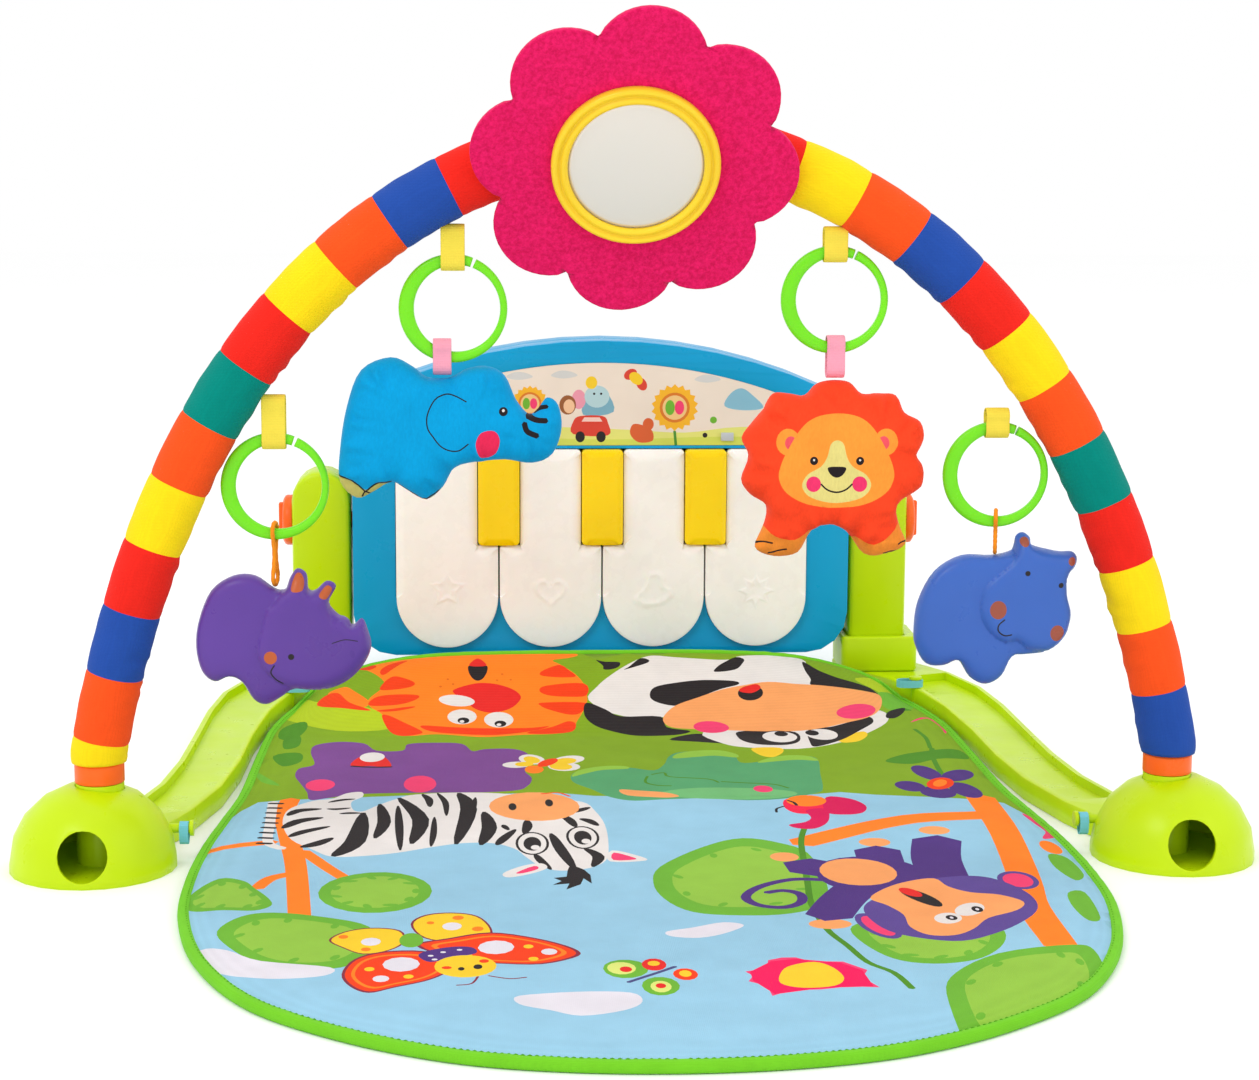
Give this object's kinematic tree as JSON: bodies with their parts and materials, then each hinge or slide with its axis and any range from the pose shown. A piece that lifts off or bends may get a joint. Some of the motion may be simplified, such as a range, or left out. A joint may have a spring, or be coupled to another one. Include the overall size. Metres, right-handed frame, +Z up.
{
  "type": "activity play gym",
  "caption": "Baby play gym: printed mat, banded fabric arch on domed feet with hanging ring toys and flower mirror, and a tilting kick piano on a two-column stand.",
  "frame": {"origin": "on the floor under the middle of the bounding box", "axes": "+Z up, +Y from the mat's front edge towards the piano, +X to the right for someone who faces the piano"},
  "size_m": [0.7, 0.829, 0.4701],
  "materials": {
    "mat_fabric": "soft printed polyester over thin wadding",
    "binding_fabric": "green woven edge binding",
    "blue_ribbon": "light blue satin ribbon",
    "lime_plastic": "glossy moulded lime green",
    "orange_plastic": "glossy moulded orange",
    "cover_fabric": "polyester tube sewn from coloured bands",
    "rod_plastic": "plain moulded rod",
    "yellow_tape": "yellow woven tape",
    "green_plastic": "glossy bright green",
    "pink_ribbon": "pink satin ribbon",
    "orange_string": "orange twisted string",
    "blue_plush": "stuffed blue satin-faced fabric",
    "red_plush": "stuffed printed orange-red fabric",
    "purple_plastic": "glossy purple",
    "toy_blue_plastic": "glossy blue",
    "pink_felt": "thick pink felt",
    "yellow_plastic": "glossy yellow",
    "mirror_film": "safety mirror film",
    "piano_blue_plastic": "glossy moulded blue",
    "label_print": "printed picture label",
    "white_plastic": "warm white, satin gloss",
    "switch_plastic": "grey slider",
    "board": "green circuit board",
    "speaker_black": "black speaker",
    "cell_steel": "dry cell"
  },
  "bodies": {
    "frame": {"mat_pad": "mat_fabric", "mat_binding": "binding_fabric", "ribbon_front_left": "blue_ribbon", "ribbon_front_right": "blue_ribbon", "ribbon_rear_left": "blue_ribbon", "ribbon_rear_right": "blue_ribbon", "dome_left": "lime_plastic", "dome_right": "lime_plastic", "dome_base_left": "lime_plastic", "dome_base_right": "lime_plastic", "rail_left": "lime_plastic", "rail_right": "lime_plastic", "column_left": "lime_plastic", "column_right": "lime_plastic", "collar_left": "lime_plastic", "collar_right": "lime_plastic"},
    "arch": {"arch_plug_left": "orange_plastic", "arch_plug_right": "orange_plastic", "arch_rod_left": "rod_plastic", "arch_rod_right": "rod_plastic", "arch_cover": "cover_fabric", "loop_upper_left": "yellow_tape", "loop_upper_right": "yellow_tape", "loop_lower_left": "yellow_tape", "loop_lower_right": "yellow_tape"},
    "flower": {"flower_felt": "pink_felt", "flower_band": "pink_felt", "mirror_frame": "yellow_plastic", "mirror": "mirror_film"},
    "piano": {"piano_front": "piano_blue_plastic", "piano_rear": "piano_blue_plastic", "label_panel": "label_print", "circuit_board": "board", "speaker": "speaker_black", "battery_door": "piano_blue_plastic", "battery_1": "cell_steel", "battery_2": "cell_steel", "battery_3": "cell_steel", "yellow_key_1": "yellow_plastic", "yellow_key_2": "yellow_plastic", "yellow_key_3": "yellow_plastic"},
    "switch": {"mode_switch": "switch_plastic"},
    "knob_l": {"knob_left": "orange_plastic"},
    "knob_r": {"knob_right": "orange_plastic"},
    "toy_elephant": {"elephant": "blue_plush", "strap_elephant": "pink_ribbon"},
    "toy_lion": {"lion": "red_plush", "strap_lion": "pink_ribbon"},
    "toy_rhino": {"rhino": "purple_plastic", "string_rhino": "orange_string"},
    "toy_hippo": {"hippo": "toy_blue_plastic", "string_hippo": "orange_string"},
    "link_upper_left": {"ring_upper_left": "green_plastic"},
    "link_upper_right": {"ring_upper_right": "green_plastic"},
    "link_lower_left": {"ring_lower_left": "green_plastic"},
    "link_lower_right": {"ring_lower_right": "green_plastic"},
    "key_1": {"white_key_1": "white_plastic"},
    "key_2": {"white_key_2": "white_plastic"},
    "key_3": {"white_key_3": "white_plastic"},
    "key_4": {"white_key_4": "white_plastic"}
  },
  "joints": [
    {"name": "arch_lift", "type": "slide", "parent": "frame", "child": "arch", "axis": [0, 0, 1], "range_m": [0, 0.045]},
    {"name": "flower_tilt", "type": "hinge", "parent": "arch", "child": "flower", "pos_m": [0, -0.078, 0.40316], "axis": [1, 0, 0], "range_deg": [-15, 5]},
    {"name": "ring_swing_upper_left", "type": "hinge", "parent": "arch", "child": "link_upper_left", "pos_m": [-0.103, -0.078, 0.3369], "axis": [1, 0, 0], "range_deg": [-20, 20]},
    {"name": "toy_swing_elephant", "type": "hinge", "parent": "link_upper_left", "child": "toy_elephant", "pos_m": [-0.103, -0.078, 0.2841], "axis": [1, 0, 0], "range_deg": [-12, 12]},
    {"name": "ring_swing_upper_right", "type": "hinge", "parent": "arch", "child": "link_upper_right", "pos_m": [0.105, -0.078, 0.3419], "axis": [1, 0, 0], "range_deg": [-20, 20]},
    {"name": "toy_swing_lion", "type": "hinge", "parent": "link_upper_right", "child": "toy_lion", "pos_m": [0.105, -0.078, 0.2891], "axis": [1, 0, 0], "range_deg": [-30, 30]},
    {"name": "ring_swing_lower_left", "type": "hinge", "parent": "arch", "child": "link_lower_left", "pos_m": [-0.2005, -0.078, 0.2399], "axis": [1, 0, 0], "range_deg": [-20, 20]},
    {"name": "toy_swing_rhino", "type": "hinge", "parent": "link_lower_left", "child": "toy_rhino", "pos_m": [-0.2005, -0.078, 0.1871], "axis": [1, 0, 0], "range_deg": [-30, 30]},
    {"name": "ring_swing_lower_right", "type": "hinge", "parent": "arch", "child": "link_lower_right", "pos_m": [0.1965, -0.078, 0.2454], "axis": [1, 0, 0], "range_deg": [-20, 20]},
    {"name": "toy_swing_hippo", "type": "hinge", "parent": "link_lower_right", "child": "toy_hippo", "pos_m": [0.1965, -0.078, 0.1926], "axis": [1, 0, 0], "range_deg": [-30, 30]},
    {"name": "piano_tilt", "type": "hinge", "parent": "frame", "child": "piano", "pos_m": [0, 0.392, 0.124], "axis": [1, 0, 0], "range_deg": [-60, 20]},
    {"name": "knob_turn_left", "type": "hinge", "parent": "frame", "child": "knob_l", "pos_m": [-0.2, 0.392, 0.124], "axis": [1, 0, 0], "range_deg": [0, 90]},
    {"name": "knob_turn_right", "type": "hinge", "parent": "frame", "child": "knob_r", "pos_m": [0.2, 0.392, 0.124], "axis": [1, 0, 0], "range_deg": [0, 90]},
    {"name": "key_press_1", "type": "hinge", "parent": "piano", "child": "key_1", "pos_m": [-0.11175, 0.369, 0.177], "axis": [1, 0, 0], "range_deg": [0, 2.2], "stiffness_Nm_per_rad": 5, "springref_deg": -2.86},
    {"name": "key_press_2", "type": "hinge", "parent": "piano", "child": "key_2", "pos_m": [-0.03725, 0.369, 0.177], "axis": [1, 0, 0], "range_deg": [0, 2.2], "stiffness_Nm_per_rad": 5, "springref_deg": -2.86},
    {"name": "key_press_3", "type": "hinge", "parent": "piano", "child": "key_3", "pos_m": [0.03725, 0.369, 0.177], "axis": [1, 0, 0], "range_deg": [0, 2.2], "stiffness_Nm_per_rad": 5, "springref_deg": -2.86},
    {"name": "key_press_4", "type": "hinge", "parent": "piano", "child": "key_4", "pos_m": [0.11175, 0.369, 0.177], "axis": [1, 0, 0], "range_deg": [0, 2.2], "stiffness_Nm_per_rad": 5, "springref_deg": -2.86},
    {"name": "switch_slide", "type": "slide", "parent": "piano", "child": "switch", "axis": [1, 0, 0], "range_m": [0, 0.016]}
  ]
}
